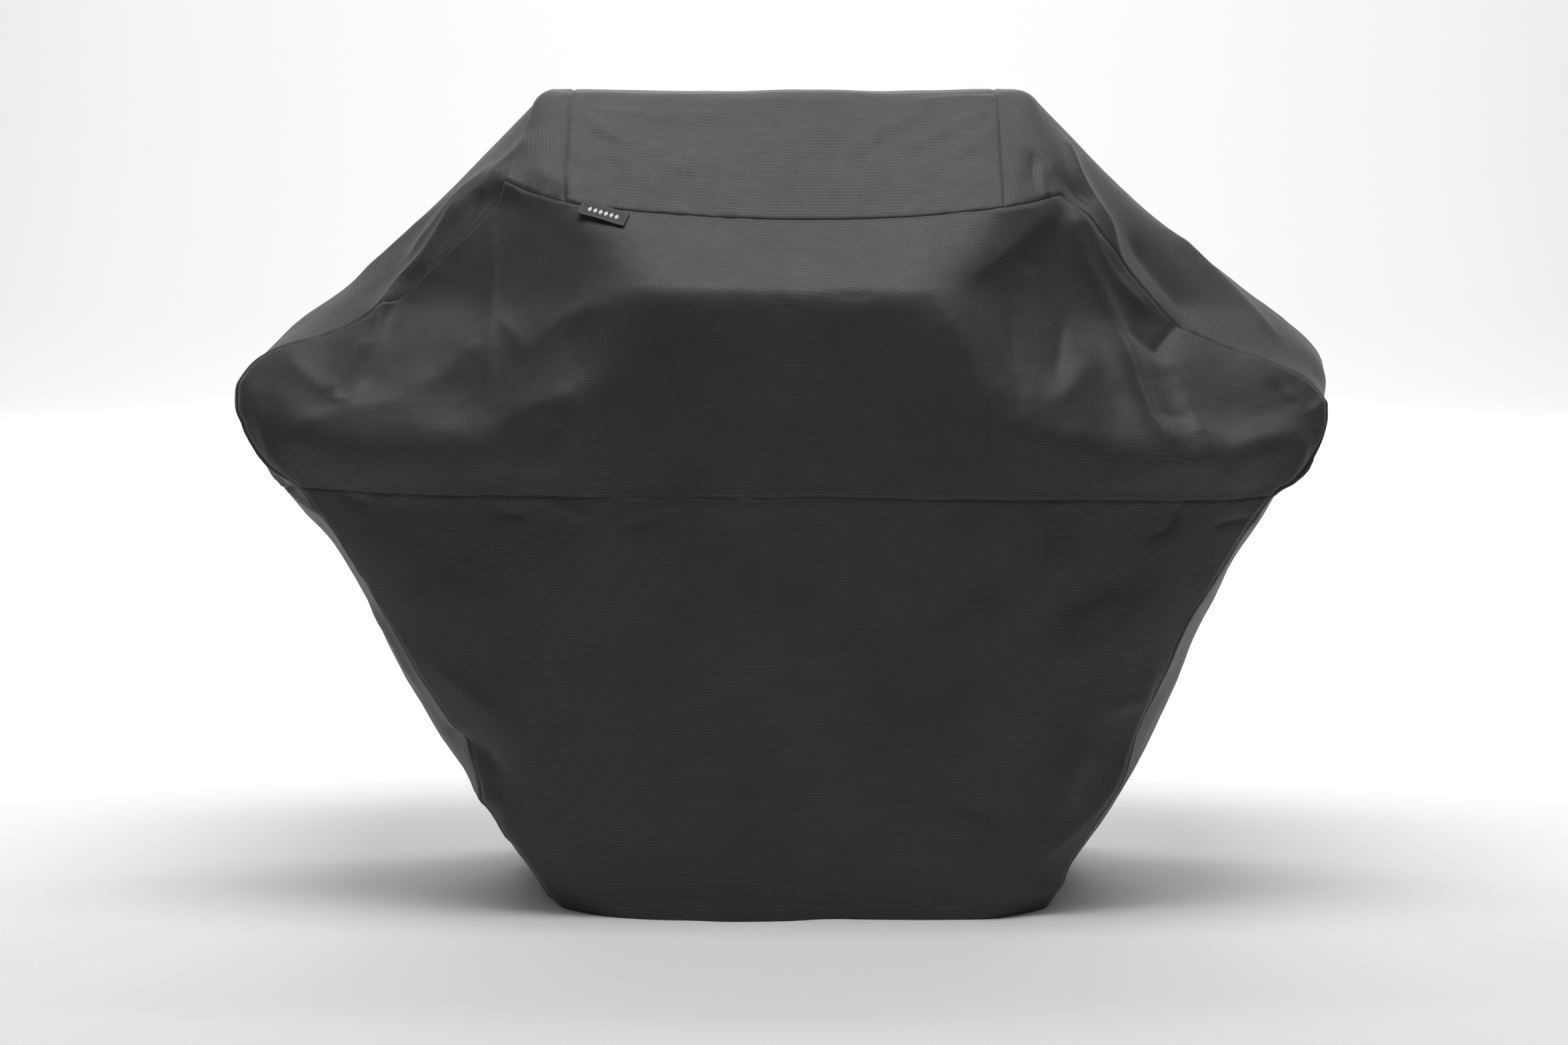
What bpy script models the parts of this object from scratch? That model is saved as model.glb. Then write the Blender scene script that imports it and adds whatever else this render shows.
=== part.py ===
"""Fabric cover for a wheeled barbecue, standing in the shape it takes over the barbecue.

Nine sewn panels: a top panel over the lid, a shoulder panel on each side of it that runs
down over the side shelf, an upper panel and a skirt at the front and at the back, and a
skirt on each side. A woven label hangs from the front crown seam, a care label hangs
inside, and a hook-and-loop strap on each side draws the hem in round the cart.

Right is +X, the front is -Y, and the hem stands on Z = 0.
"""
import bpy
import numpy as np
from mathutils import Matrix

# Driving dimensions, in metres.
WIDTH = 1.575          # across the two shelf ends
DEPTH = 0.610          # front to back
HEIGHT = 1.168         # hem to the flat of the lid
CLOTH = 0.0020         # thickness of a panel
SEAM_GAP = 0.0003      # clearance between two panels along a seam

# The way the cover sits: the hem is a little to the right, the right shelf a little low.
HEM_SHIFT = 0.025
SHELF_LEAN = 0.020     # drop per metre of X

# Labels: width, length and thickness, and where each one hangs.
LABEL_SIZE = (0.070, 0.025, 0.0008)
LABEL_X = -0.248
LABEL_TILT = 12.0      # degrees, falling to the right
LABEL_LIFT = 0.0025    # of its hinge line off the seam
CARE_SIZE = (0.035, 0.060, 0.0005)
CARE_X = -0.20
CARE_DROP = 0.006      # of its hinge line below and inside the back crown seam

# Closure straps: each is sewn to the side skirt at its back end and closes at its front end.
STRAP_WIDTH = 0.025
STRAP_HEIGHT = 0.085   # middle of the strap above the hem
STRAP_THICKNESS = 0.0015
TAPE_THICKNESS = 0.0012
STRAP_SPAN = (0.56, 0.93)   # part of the way from the front side seam to the back one
TAPE_SPAN = (0.57, 0.69)
STRAP_LIFT = 0.0010         # clearance under the strap's sewn end

# The hanging shape is held by these points: the right half of the front, row by row from
# the hem to the crown seam. In each row the first three points lie on the middle face, the
# third where it breaks back towards the shelf, and the last is on the side seam.
FRONT_ROWS = [
    [(0, -.237, 0), (.12, -.239, 0), (.21, -.238, 0),
     (.27, -.229, 0), (.325, -.202, 0), (.352, -.168, 0)],
    [(0, -.242, .12), (.14, -.243, .12), (.24, -.243, .12),
     (.32, -.240, .12), (.375, -.225, .12), (.42, -.195, .12)],
    [(0, -.252, .30), (.16, -.252, .30), (.28, -.252, .30),
     (.38, -.248, .30), (.45, -.238, .30), (.50, -.210, .30)],
    [(0, -.264, .50), (.19, -.264, .50), (.34, -.262, .50),
     (.46, -.259, .50), (.56, -.250, .50), (.62, -.225, .515)],
    [(0, -.274, .617), (.21, -.274, .617), (.38, -.272, .617),
     (.50, -.270, .617), (.61, -.258, .617), (.68, -.225, .617)],
    [(0, -.284, .66), (.21, -.284, .66), (.35, -.285, .66),
     (.48, -.290, .655), (.65, -.268, .655), (.745, -.205, .665)],
    [(0, -.294, .71), (.21, -.294, .71), (.32, -.295, .71),
     (.47, -.298, .690), (.66, -.268, .690), (.778, -.185, .730)],
    [(0, -.300, .76), (.19, -.300, .76), (.285, -.299, .76),
     (.43, -.268, .735), (.62, -.232, .735), (.757, -.165, .785)],
    [(0, -.304, .81), (.16, -.304, .81), (.245, -.302, .81),
     (.39, -.238, .800), (.56, -.202, .795), (.68, -.160, .815)],
    [(0, -.306, .86), (.14, -.306, .86), (.215, -.303, .86),
     (.36, -.220, .845), (.50, -.182, .840), (.60, -.150, .840)],
    [(0, -.304, .90), (.12, -.304, .90), (.200, -.301, .90),
     (.34, -.208, .880), (.46, -.168, .875), (.55, -.142, .865)],
    [(0, -.280, .92), (.12, -.280, .92), (.210, -.274, .92),
     (.34, -.196, .920), (.42, -.162, .920), (.49, -.138, .930)],
    [(0, -.240, .957), (.12, -.240, .957), (.24, -.234, .960),
     (.33, -.184, .970), (.39, -.158, .970), (.43, -.135, .985)],
    [(0, -.192, 1.0), (.12, -.192, 1.0), (.27, -.186, 1.01),
     (.32, -.174, 1.018), (.36, -.152, 1.024), (.39, -.130, 1.032)],
]
WAIST_HEIGHT = 0.617

# The outermost points of the two sides on the same rows: how far out on the left and on the
# right, then Y and Z. The left shelf end is bagged out lower down, the right one higher up.
SIDE_ROWS = [
    (.390, .372, .05, 0), (.475, .487, .04, .12), (.572, .571, .02, .30), (.640, .656, .01, .50),
    (.753, .732, .01, .60), (.795, .765, .02, .675), (.799, .793, .03, .745), (.741, .799, .04, .805),
    (.651, .730, .06, .860), (.603, .669, .06, .905), (.556, .605, .06, .955), (.492, .523, .06, 1.020),
    (.429, .443, .05, 1.090), (.364, .371, .05, HEIGHT - .010),
]

# The lid's top edge lines, front to back, between the two crown seams.
LID_LINES = (-0.035, 0.050, 0.135)
REAR_CROWN_SHIFT = 0.045   # the back crown seam stands this much further from the middle
TOP_SEAM_X = 0.308         # side seams of the top panel

COLUMNS_TOP, COLUMNS_SHOULDER = 12, 4   # grid steps across the top panel and beside it
ROWS_SKIRT, ROWS_UPPER = 8, 14          # grid steps below and above the waist seam
STEPS_ACROSS = 9                        # grid steps from the front to the back seam

# Sign that turns the cross product of a patch's grid diagonals outwards.
FACING = {"front": 1, "rear": -1, "left": -1, "right": 1, "top": -1}

PANEL_COLOUR = (0.052, 0.053, 0.060, 1)
LABEL_COLOUR = (0.030, 0.030, 0.034, 1)
WEBBING_COLOUR = (0.018, 0.018, 0.020, 1)
TAPE_COLOUR = (0.012, 0.012, 0.013, 1)
CARE_COLOUR = (0.80, 0.80, 0.78, 1)


def smooth(value, low, high):
    """Rise from 0 at low to 1 at high with level ends."""
    part = np.clip((value - low) / (high - low), 0, 1)
    return part * part * (3 - 2 * part)


def settle(points):
    """Shift the hem to the right and let the right shelf sit a little lower."""
    x, y, z = np.moveaxis(np.asarray(points, float), -1, 0)
    shelf = smooth(z, 0.50, 0.78) * (1 - smooth(z, 1.04, 1.12))
    return np.stack([x + HEM_SHIFT * (1 - smooth(z, 0, 0.6)), y, z - SHELF_LEAN * x * shelf], -1)


def basis(count, params):
    """Weights of a clamped quadratic B-spline: a row per parameter, a column per control point."""
    knots = np.concatenate([[0, 0], np.linspace(0, 1, count - 1), [1, 1]])
    at = np.clip(np.asarray(params, float), 0, 1 - 1e-9)[:, None]
    weights = ((knots[:-1] <= at) & (at < knots[1:])).astype(float)
    for degree in (1, 2):
        rise = np.maximum(knots[degree:-1] - knots[:-degree - 1], 1e-9)
        fall = np.maximum(knots[degree + 1:] - knots[1:-degree], 1e-9)
        weights = (weights[:, :-1] * (at - knots[:-degree - 1]) / rise
                   + weights[:, 1:] * (knots[degree + 1:] - at) / fall)
    return weights


def surface(net, rows, columns):
    """Points of the B-spline surface of a control net at each row and column parameter."""
    return np.einsum("ra,cb,abk->rck", basis(len(net), rows), basis(net.shape[1], columns), net)


def control_nets():
    """The five control nets: front and rear (hem to crown, left to right), and the band over
    the lid and down both sides (front to back across, hem to lid end or left to right along)."""
    right = np.array(FRONT_ROWS, float)
    left = right[:, :0:-1] * (-1, 1, 1)
    front = np.concatenate([left, right], 1)
    rear = front * (1, -1, 1)
    rear[..., 1] += REAR_CROWN_SHIFT * smooth(front[..., 2], 0.86, 1.0)
    nets = {"front": front, "rear": rear}
    sides = np.array(SIDE_ROWS, float)
    nets["left"] = arch(front[:, 0], sides[:, [0, 2, 3]] * (-1, 1, 1), rear[:, 0])
    nets["right"] = arch(front[:, -1], sides[:, [1, 2, 3]], rear[:, -1])
    top_front, top_rear = front[-1], rear[-1]
    lines = [np.stack([top_front[:, 0], np.full(len(top_front), y), np.full(len(top_front), HEIGHT)], -1)
             for y in LID_LINES]
    top = np.stack([top_front, *lines, top_rear], 1)
    top[0], top[-1] = nets["left"][-1], nets["right"][-1]
    nets["top"] = top
    return {name: settle(net) for name, net in nets.items()}


def arch(front, outer, rear):
    """Five control points across a side band: seam, shoulder, outermost point, shoulder, seam."""
    lean = np.array([0.80, 0.45, 0.80])
    return np.stack([front, front + (outer - front) * lean, outer, rear + (outer - rear) * lean, rear], 1)


def parameter_of(net_curve, value, axis):
    """Parameter where a B-spline curve reaches a value on one axis."""
    params = np.linspace(0, 1, 2001)
    return float(np.interp(value, (basis(len(net_curve), params) @ net_curve)[:, axis], params))


def normals_of(patches):
    """Outward unit normals of every grid point, shared by patches that meet at the point."""
    points = np.concatenate([grid.reshape(-1, 3) for grid in patches.values()])
    _, shared = np.unique(np.round(points, 6), axis=0, return_inverse=True)
    shared = shared.ravel()
    total = np.zeros((shared.max() + 1, 3))
    start = 0
    indices = {}
    for name, grid in patches.items():
        rows, columns = grid.shape[:2]
        index = shared[start:start + rows * columns].reshape(rows, columns)
        start += rows * columns
        face = np.cross(grid[1:, 1:] - grid[:-1, :-1], grid[1:, :-1] - grid[:-1, 1:])
        for di in (0, 1):
            for dj in (0, 1):
                corner = index[di:rows - 1 + di, dj:columns - 1 + dj]
                np.add.at(total, corner.ravel(), face.reshape(-1, 3) * FACING[name])
        indices[name] = index
    total /= np.linalg.norm(total, axis=1, keepdims=True)
    return {name: total[index] for name, index in indices.items()}


def pull_back(grid, edges):
    """Move the listed edges of a grid half the seam gap into the panel."""
    moved = grid.copy()
    for edge in edges:
        here, inside = {"first_row": (np.s_[0], np.s_[1]), "last_row": (np.s_[-1], np.s_[-2]),
                        "first_column": (np.s_[:, 0], np.s_[:, 1]),
                        "last_column": (np.s_[:, -1], np.s_[:, -2])}[edge]
        step = moved[inside] - moved[here]
        moved[here] += step / np.linalg.norm(step, axis=-1, keepdims=True) * SEAM_GAP / 2
    return moved


def closed_shell(name, outer, inner, flip, material, origin=(0, 0, 0)):
    """A closed body between two grids of the same size, as one mesh object. The rim is split
    into triangles by position, so that two panels split their shared seam the same way."""
    rows, columns = outer.shape[:2]
    index = np.arange(rows * columns).reshape(rows, columns)
    quads = np.stack([index[:-1, :-1], index[:-1, 1:], index[1:, 1:], index[1:, :-1]], -1).reshape(-1, 4)
    rim = np.concatenate([index[0, :-1], index[:-1, -1], index[-1, :0:-1], index[:0:-1, 0]])
    following = np.roll(rim, -1)
    far = rows * columns
    reach = outer.reshape(-1, 3) @ (1.0, 0.3, 0.7)
    ahead = (reach[rim] < reach[following])[:, None]
    lower = np.where(ahead, np.stack([following, rim, following + far], -1),
                     np.stack([following, rim, rim + far], -1))
    upper = np.where(ahead, np.stack([rim, rim + far, following + far], -1),
                     np.stack([following, rim + far, following + far], -1))
    faces = [*quads.tolist(), *(quads[:, ::-1] + far).tolist(), *lower.tolist(), *upper.tolist()]
    if flip:
        faces = [face[::-1] for face in faces]
    mesh = bpy.data.meshes.new(name)
    points = np.concatenate([outer.reshape(-1, 3), inner.reshape(-1, 3)]) - origin
    mesh.from_pydata(points.tolist(), [], faces)
    mesh.shade_smooth()
    mesh.set_sharp_from_angle(angle=np.radians(40))
    mesh.materials.append(material)
    part = bpy.data.objects.new(name, mesh)
    part.location = origin
    bpy.context.collection.objects.link(part)
    return part


def new_material(name, colour, roughness):
    """A Principled material with one colour."""
    material = bpy.data.materials.new(name)
    material.use_nodes = True
    shader = material.node_tree.nodes["Principled BSDF"]
    shader.inputs["Base Color"].default_value = colour
    shader.inputs["Roughness"].default_value = roughness
    shader.inputs["Metallic"].default_value = 0.0
    return material


def scaled_nets():
    """The control nets, stretched a little so that the cover measures its driving dimensions."""
    nets = control_nets()
    fine = np.linspace(0, 1, 121)
    points = np.concatenate([surface(net, fine, fine).reshape(-1, 3) for net in nets.values()])
    low, high = points.min(0), points.max(0)
    stretch = np.array([WIDTH, DEPTH, HEIGHT]) / (high - low)
    middle = np.array([(low[0] + high[0]) / 2, (low[1] + high[1]) / 2, 0])
    return {name: (net - middle) * stretch for name, net in nets.items()}


def build_panels(nets, fabric):
    """The nine panels: each is a block of rows and columns of one patch."""
    waist = parameter_of(nets["front"][:, 5], WAIST_HEIGHT, 2)
    rows = np.concatenate([np.linspace(0, waist, ROWS_SKIRT + 1), np.linspace(waist, 1, ROWS_UPPER + 1)[1:]])
    seams = [parameter_of(nets["front"][-1], x, 0) for x in (-TOP_SEAM_X, TOP_SEAM_X)]
    columns = np.concatenate([np.linspace(0, seams[0], COLUMNS_SHOULDER + 1),
                              np.linspace(*seams, COLUMNS_TOP + 1)[1:],
                              np.linspace(seams[1], 1, COLUMNS_SHOULDER + 1)[1:]])
    across = np.linspace(0, 1, STEPS_ACROSS + 1)
    outer = {"front": surface(nets["front"], rows, columns), "rear": surface(nets["rear"], rows, columns),
             "left": surface(nets["left"], rows, across), "right": surface(nets["right"], rows, across),
             "top": surface(nets["top"], columns, across)}
    normals = normals_of(outer)
    inner = {name: outer[name] - normals[name] * CLOTH for name in outer}
    for name in ("front", "rear", "left", "right"):
        inner[name][0, :, 2] = 0
    skirt, upper = np.s_[:ROWS_SKIRT + 1], np.s_[ROWS_SKIRT:]
    all_round = ("first_row", "last_row", "first_column", "last_column")
    for side in ("front", "rear"):
        add_panel(side + "_upper_panel", side, np.s_[upper, :], all_round, outer, inner, fabric)
        add_panel(side + "_skirt", side, np.s_[skirt, :], all_round[1:], outer, inner, fabric)
    for side in ("left", "right"):
        add_panel(side + "_side_skirt", side, np.s_[skirt, :], all_round[1:], outer, inner, fabric)
    first, last = COLUMNS_SHOULDER, COLUMNS_SHOULDER + COLUMNS_TOP
    add_panel("top_panel", "top", np.s_[first:last + 1, :], all_round, outer, inner, fabric)
    for side, lid_end in (("left", np.s_[:first + 1]), ("right", np.s_[:last - 1:-1])):
        joined = {kind: np.concatenate([grids[side][ROWS_SKIRT:], grids["top"][lid_end][1:]])
                  for kind, grids in (("outer", outer), ("inner", inner))}
        closed_shell(side + "_shoulder_panel", pull_back(joined["outer"], all_round),
                     pull_back(joined["inner"], all_round), FACING[side] < 0, fabric)


def add_panel(name, patch, block, edges, outer, inner, fabric):
    """One panel cut from a patch, its seam edges pulled back by half the gap."""
    closed_shell(name, pull_back(outer[patch][block], edges), pull_back(inner[patch][block], edges),
                 FACING[patch] < 0, fabric)


def frame_at(net, row, column, step=1e-4):
    """Point on a patch, and unit directions along its row, up the surface and out of it."""
    (below, _), (here, aside) = surface(net, [row - step, row], [column, column + step])
    along = (aside - here) / np.linalg.norm(aside - here)
    up = here - below
    up -= along * (up @ along)
    up /= np.linalg.norm(up)
    return here, along, up, np.cross(along, up)


def hinged_slab(name, size, hinge, along, up, material):
    """A thin rectangular label that hangs by its top edge from its hinge point."""
    axes = Matrix(np.stack([along, up, np.cross(along, up)], 1).tolist()).to_4x4()
    width, length, thickness = size
    back = np.array([[(x, y, 0) for x in (-width / 2, width / 2)] for y in (-length, 0)])
    part = closed_shell(name, back + (0, 0, thickness), back, False, material)
    part.matrix_world = Matrix.Translation(hinge) @ axes
    return part


def build_labels(nets, woven, care):
    """The woven label on the front crown seam and the care label inside the back one."""
    column = parameter_of(nets["front"][-1], LABEL_X, 0)
    seam, along, up, outward = frame_at(nets["front"], 1.0, column)
    turn = np.radians(LABEL_TILT)
    label_along = along * np.cos(turn) - up * np.sin(turn)
    label_up = up * np.cos(turn) + along * np.sin(turn)
    hinged_slab("woven_label", LABEL_SIZE, seam + outward * LABEL_LIFT, label_along, label_up, woven)
    column = parameter_of(nets["rear"][-1], CARE_X, 0)
    seam = frame_at(nets["rear"], 1.0, column)[0]
    hinged_slab("care_label", CARE_SIZE, seam - (0, CARE_DROP, CARE_DROP), (1, 0, 0), (0, 0, 1), care)


def strip(name, net, side, span, lift, thickness, material, origin=(0, 0, 0)):
    """A strip of webbing or tape that follows the side skirt at strap height, lifted off it."""
    rows = [parameter_of(net[:, 2], STRAP_HEIGHT + half * STRAP_WIDTH / 2, 2) for half in (-1, 1)]
    across = np.linspace(*span, 13)
    step = 1e-4
    here = surface(net, rows, across)
    upwards = surface(net, np.add(rows, step), across) - here
    backwards = surface(net, rows, across + step) - here
    normal = np.cross(upwards, backwards) * -FACING[side]
    normal /= np.linalg.norm(normal, axis=-1, keepdims=True)
    low = here + normal * np.reshape(lift, (1, -1, 1))
    return closed_shell(name, low + normal * thickness, low, FACING[side] < 0, material, origin)


def build_straps(nets, webbing, tape):
    """On each side a loop patch on the skirt, and a strap that carries a hook tape."""
    hook_lift = SEAM_GAP + TAPE_THICKNESS + SEAM_GAP
    strap_lift = hook_lift + TAPE_THICKNESS + SEAM_GAP
    across = np.linspace(*STRAP_SPAN, 13)
    rising = np.interp(across, (0.75, STRAP_SPAN[1]), (strap_lift, STRAP_LIFT))
    for side in ("left", "right"):
        net = nets[side]
        row = parameter_of(net[:, 2], STRAP_HEIGHT, 2)
        point, _, _, outward = frame_at(net, row, STRAP_SPAN[1])
        hinge = point + outward * FACING[side] * (STRAP_LIFT + STRAP_THICKNESS)
        strip(side + "_loop_patch", net, side, TAPE_SPAN, SEAM_GAP, TAPE_THICKNESS, tape)
        strip(side + "_hook_tape", net, side, TAPE_SPAN, hook_lift, TAPE_THICKNESS, tape, hinge)
        strip(side + "_strap", net, side, STRAP_SPAN, rising, STRAP_THICKNESS, webbing, hinge)


def build():
    """Remove what the scene holds and model the cover."""
    for old in list(bpy.data.objects):
        bpy.data.objects.remove(old, do_unlink=True)
    nets = scaled_nets()
    build_panels(nets, new_material("cover_fabric", PANEL_COLOUR, 0.85))
    build_labels(nets, new_material("woven_label", LABEL_COLOUR, 0.70),
                 new_material("care_label", CARE_COLOUR, 0.75))
    build_straps(nets, new_material("webbing", WEBBING_COLOUR, 0.80),
                 new_material("hook_and_loop", TAPE_COLOUR, 0.95))


build()
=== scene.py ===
"""The looks of a fabric barbecue cover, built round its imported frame.

The cover is one continuous draped surface, worked out as five patches that share their
edges: front, rear, left, right and top. Folds, seams, puckers and hems are relief on that
surface, and the patches are then cut into the nine sewn panels.
"""
import math
import bpy
import numpy as np
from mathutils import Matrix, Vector


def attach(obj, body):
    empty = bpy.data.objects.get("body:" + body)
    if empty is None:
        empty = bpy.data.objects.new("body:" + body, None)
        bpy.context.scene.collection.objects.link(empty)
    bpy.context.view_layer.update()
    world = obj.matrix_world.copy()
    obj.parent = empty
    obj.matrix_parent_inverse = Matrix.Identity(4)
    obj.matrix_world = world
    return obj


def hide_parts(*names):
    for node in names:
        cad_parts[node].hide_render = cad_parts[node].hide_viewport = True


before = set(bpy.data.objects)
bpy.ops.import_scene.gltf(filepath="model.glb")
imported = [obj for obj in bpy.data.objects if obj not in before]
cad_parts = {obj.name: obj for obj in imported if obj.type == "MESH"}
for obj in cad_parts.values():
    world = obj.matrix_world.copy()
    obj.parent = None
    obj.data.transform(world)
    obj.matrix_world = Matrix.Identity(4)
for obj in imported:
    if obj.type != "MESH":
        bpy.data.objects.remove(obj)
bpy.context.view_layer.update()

# -------------------- the hanging shape

WIDTH, DEPTH, HEIGHT = 1.575, 0.610, 1.168
HEM_SHIFT = 0.025          # the hem stands this much to the right of the shelves
SHELF_LEAN = 0.020         # drop of the shelf line per metre to the right
HEM_SHIFT_TOP = 0.6        # height where that shift has died away
SHELF_FOOT, SHELF_HEAD = (0.50, 0.78), (1.04, 1.12)   # heights where the lean comes and goes
LID_LINES = (-0.035, 0.050, 0.135)                    # Y of the lid's inner control lines
REAR_CROWN_SHIFT, REAR_CROWN = 0.045, (0.86, 1.0)     # the rear's shift back, and its heights
SIDE_LEAN = (0.80, 0.45, 0.80)   # part of the way out, in X, Y and Z, of a side's shoulder points
TOP_SEAM_X = 0.308
WAIST_HEIGHT = 0.617

# The hanging shape is held by these points: the right half of the front, row by row from
# the hem to the crown seam. In each row the first three points lie on the middle face, the
# third where it breaks back towards the shelf, and the last is on the side seam.
FRONT_ROWS = [
    [(0, -.237, 0), (.12, -.239, 0), (.21, -.238, 0),
     (.27, -.229, 0), (.325, -.202, 0), (.352, -.168, 0)],
    [(0, -.242, .12), (.14, -.243, .12), (.24, -.243, .12),
     (.32, -.240, .12), (.375, -.225, .12), (.42, -.195, .12)],
    [(0, -.252, .30), (.16, -.252, .30), (.28, -.252, .30),
     (.38, -.248, .30), (.45, -.238, .30), (.50, -.210, .30)],
    [(0, -.264, .50), (.19, -.264, .50), (.34, -.262, .50),
     (.46, -.259, .50), (.56, -.250, .50), (.62, -.225, .515)],
    [(0, -.274, .617), (.21, -.274, .617), (.38, -.272, .617),
     (.50, -.270, .617), (.61, -.258, .617), (.68, -.225, .617)],
    [(0, -.284, .66), (.21, -.284, .66), (.35, -.285, .66),
     (.48, -.290, .655), (.65, -.268, .655), (.745, -.205, .665)],
    [(0, -.294, .71), (.21, -.294, .71), (.32, -.295, .71),
     (.47, -.298, .690), (.66, -.268, .690), (.778, -.185, .730)],
    [(0, -.300, .76), (.19, -.300, .76), (.285, -.299, .76),
     (.43, -.268, .735), (.62, -.232, .735), (.757, -.165, .785)],
    [(0, -.304, .81), (.16, -.304, .81), (.245, -.302, .81),
     (.39, -.238, .800), (.56, -.202, .795), (.68, -.160, .815)],
    [(0, -.306, .86), (.14, -.306, .86), (.215, -.303, .86),
     (.36, -.220, .845), (.50, -.182, .840), (.60, -.150, .840)],
    [(0, -.304, .90), (.12, -.304, .90), (.200, -.301, .90),
     (.34, -.208, .880), (.46, -.168, .875), (.55, -.142, .865)],
    [(0, -.280, .92), (.12, -.280, .92), (.210, -.274, .92),
     (.34, -.196, .920), (.42, -.162, .920), (.49, -.138, .930)],
    [(0, -.240, .957), (.12, -.240, .957), (.24, -.234, .960),
     (.33, -.184, .970), (.39, -.158, .970), (.43, -.135, .985)],
    [(0, -.192, 1.0), (.12, -.192, 1.0), (.27, -.186, 1.01),
     (.32, -.174, 1.018), (.36, -.152, 1.024), (.39, -.130, 1.032)],
]

# The outermost points of the two sides on the same rows: how far out on the left and on the
# right, then Y and Z. The left shelf end is bagged out lower down, the right one higher up.
SIDE_ROWS = [
    (.390, .372, .05, 0), (.475, .487, .04, .12), (.572, .571, .02, .30),
    (.640, .656, .01, .50), (.753, .732, .01, .60), (.795, .765, .02, .675),
    (.799, .793, .03, .745), (.741, .799, .04, .805), (.651, .730, .06, .860),
    (.603, .669, .06, .905), (.556, .605, .06, .955), (.492, .523, .06, 1.020),
    (.429, .443, .05, 1.090), (.364, .371, .05, HEIGHT - .010),
]

# Sign that turns a patch's grid cross product outwards.
FACING = {"front": 1, "rear": -1, "left": -1, "right": 1, "top": -1}


def smooth(value, low, high):
    """Rise from 0 at low to 1 at high with level ends: 3 t^2 - 2 t^3."""
    part = np.clip((value - low) / (high - low), 0, 1)
    return part * part * (3 - 2 * part)


def settle(points):
    """Shift the hem to the right and let the right shelf sit a little lower."""
    x, y, z = np.moveaxis(np.asarray(points, float), -1, 0)
    shelf = smooth(z, *SHELF_FOOT) * (1 - smooth(z, *SHELF_HEAD))
    shifted = x + HEM_SHIFT * (1 - smooth(z, 0, HEM_SHIFT_TOP))
    return np.stack([shifted, y, z - SHELF_LEAN * x * shelf], -1)


def basis(count, params):
    """Weights of a clamped quadratic B-spline, by the Cox and de Boor recursion."""
    knots = np.concatenate([[0, 0], np.linspace(0, 1, count - 1), [1, 1]])
    at = np.clip(np.asarray(params, float), 0, 1 - 1e-9)[:, None]
    weights = ((knots[:-1] <= at) & (at < knots[1:])).astype(float)
    for degree in (1, 2):
        rise = np.maximum(knots[degree:-1] - knots[:-degree - 1], 1e-9)
        fall = np.maximum(knots[degree + 1:] - knots[1:-degree], 1e-9)
        weights = (weights[:, :-1] * (at - knots[:-degree - 1]) / rise
                   + weights[:, 1:] * (knots[degree + 1:] - at) / fall)
    return weights


def surface(net, rows, columns):
    """Tensor product of the B-splines of a control net at each row and column parameter."""
    return np.einsum("ra,cb,abk->rck", basis(len(net), rows), basis(net.shape[1], columns), net)


def arch(front, outer, rear):
    """Five control points across a side band: seam, shoulder, outermost point, shoulder, seam."""
    shoulders = [seam + (outer - seam) * SIDE_LEAN for seam in (front, rear)]
    return np.stack([front, shoulders[0], outer, shoulders[1], rear], 1)


def control_nets():
    """The nets of the five patches, stretched so that the cover measures what its frame does."""
    right = np.array(FRONT_ROWS, float)
    front = np.concatenate([right[:, :0:-1] * (-1, 1, 1), right], 1)
    rear = front * (1, -1, 1)
    rear[..., 1] += REAR_CROWN_SHIFT * smooth(front[..., 2], *REAR_CROWN)
    nets = {"front": front, "rear": rear}
    sides = np.array(SIDE_ROWS, float)
    nets["left"] = arch(front[:, 0], sides[:, [0, 2, 3]] * (-1, 1, 1), rear[:, 0])
    nets["right"] = arch(front[:, -1], sides[:, [1, 2, 3]], rear[:, -1])
    crown = front[-1]
    lines = [crown * (1, 0, 0) + (0, y, HEIGHT) for y in LID_LINES]
    nets["top"] = np.stack([crown, *lines, rear[-1]], 1)
    nets["top"][0], nets["top"][-1] = nets["left"][-1], nets["right"][-1]
    nets = {name: settle(net) for name, net in nets.items()}
    fine = np.linspace(0, 1, 121)
    points = np.concatenate([surface(net, fine, fine).reshape(-1, 3) for net in nets.values()])
    low, high = points.min(0), points.max(0)
    middle = (low + high) / 2 * (1, 1, 0)
    size = (WIDTH, DEPTH, HEIGHT)
    return {name: (net - middle) * size / (high - low) for name, net in nets.items()}


def parameter_of(curve, value, axis):
    """Parameter where a B-spline curve reaches a value on one axis."""
    params = np.linspace(0, 1, 2001)
    return float(np.interp(value, (basis(len(curve), params) @ curve)[:, axis], params))


def samples(marks, counts, near):
    """Parameters between marks, evenly spaced, with extra ones close to each mark."""
    parts = [np.linspace(low, high, count + 1)
             for low, high, count in zip(marks, marks[1:], counts)]
    close = [mark + side * step for mark in marks for side in (-1, 1) for step in near]
    every = np.concatenate([*parts, [value for value in close if 0 < value < 1]])
    every = np.unique(np.round(every, 6))
    keep = np.concatenate([[True], np.diff(every) > near[0] * 0.6])
    keep |= np.isin(every, np.round(marks, 6))
    return every[keep]


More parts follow.
